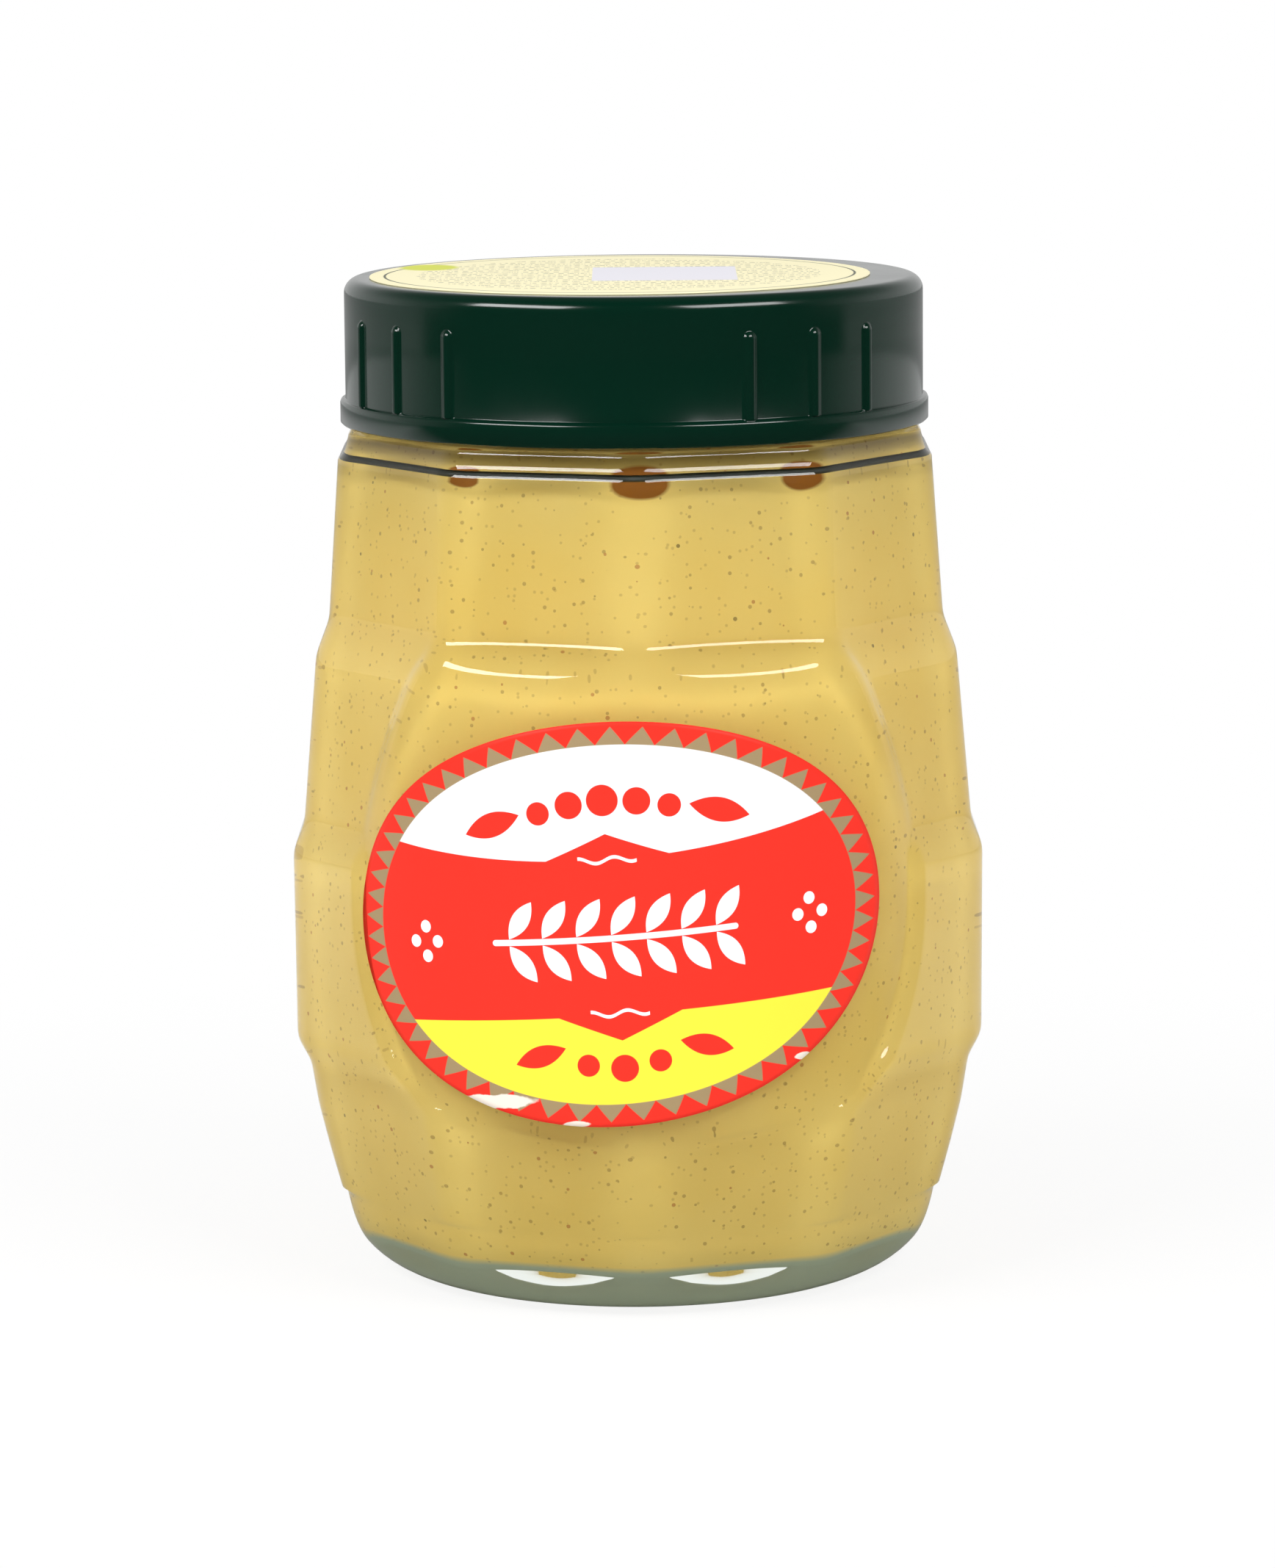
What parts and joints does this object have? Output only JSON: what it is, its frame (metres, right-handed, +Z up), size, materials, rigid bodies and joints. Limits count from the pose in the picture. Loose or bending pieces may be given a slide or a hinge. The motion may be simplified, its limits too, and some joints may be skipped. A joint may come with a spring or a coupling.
{
  "type": "mustard jar",
  "caption": "Ten-sided tiered glass jar filled with mustard, with a ribbed green screw cap, an oval front label and a round label on the cap.",
  "frame": {"origin": "centre of the jar's base, on the plane it stands on", "axes": "+Z up along the jar's axis; the label faces -Y"},
  "size_m": [0.071, 0.072, 0.1036],
  "materials": {
    "glass": "clear pressed glass with a faint green tint",
    "mustard": "smooth mustard paste with fine brown specks",
    "cap_plastic": "dark green gloss moulding",
    "lid_paper": "pale yellow coated paper",
    "label_paper": "coated paper in red, white and yellow"
  },
  "bodies": {
    "root": {"glass_jar": "glass", "mustard": "mustard", "lid": "cap_plastic", "lid_label": "lid_paper", "front_label": "label_paper"}
  },
  "joints": []
}
